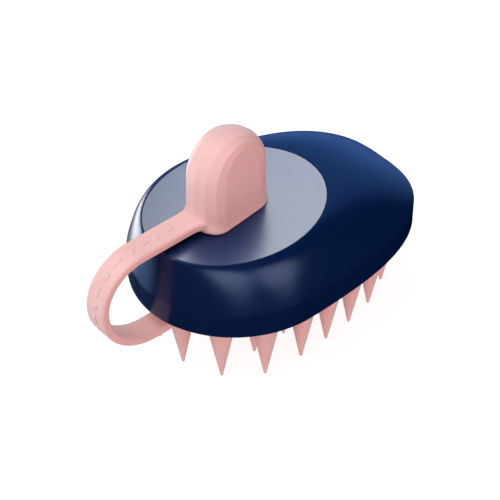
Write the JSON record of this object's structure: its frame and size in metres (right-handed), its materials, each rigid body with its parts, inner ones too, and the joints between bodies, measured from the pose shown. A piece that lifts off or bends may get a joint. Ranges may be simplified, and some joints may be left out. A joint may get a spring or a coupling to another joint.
{
  "type": "scalp massager brush",
  "caption": "Handheld scalp brush: hollow hard shell on a pad of soft cones, with a strap that loops from the pad round the front to a plug-in grip knob on the crown.",
  "frame": {"origin": "on the surface that the bristle tips stand on, below the middle of the overall box", "axes": "+X from the strap's loop to the blunt tail, +Y to the side, +Z from the bristle tips up to the knob"},
  "size_m": [0.1148, 0.0666, 0.0769],
  "materials": {
    "shell_gloss": "polished navy",
    "inlay_satin": "smooth navy with a metallic sheen",
    "silicone": "matt pink silicone",
    "inner_plastic": "as moulded",
    "seal_rubber": "matt black",
    "screw_steel": "plain"
  },
  "bodies": {
    "root": {"shell": "shell_gloss", "top_plate": "inlay_satin", "socket": "inner_plastic", "socket_screws": "screw_steel", "base_plate": "inner_plastic", "base_screws": "screw_steel", "bristle_pad": "silicone", "bristles": "silicone", "strap": "silicone"},
    "knob_assembly": {"knob": "silicone", "knob_core": "inner_plastic", "stem_ring": "seal_rubber"}
  },
  "joints": [
    {"name": "knob_pull", "type": "slide", "parent": "root", "child": "knob_assembly", "axis": [0, 0, 1], "range_m": [0, 0.013]}
  ]
}
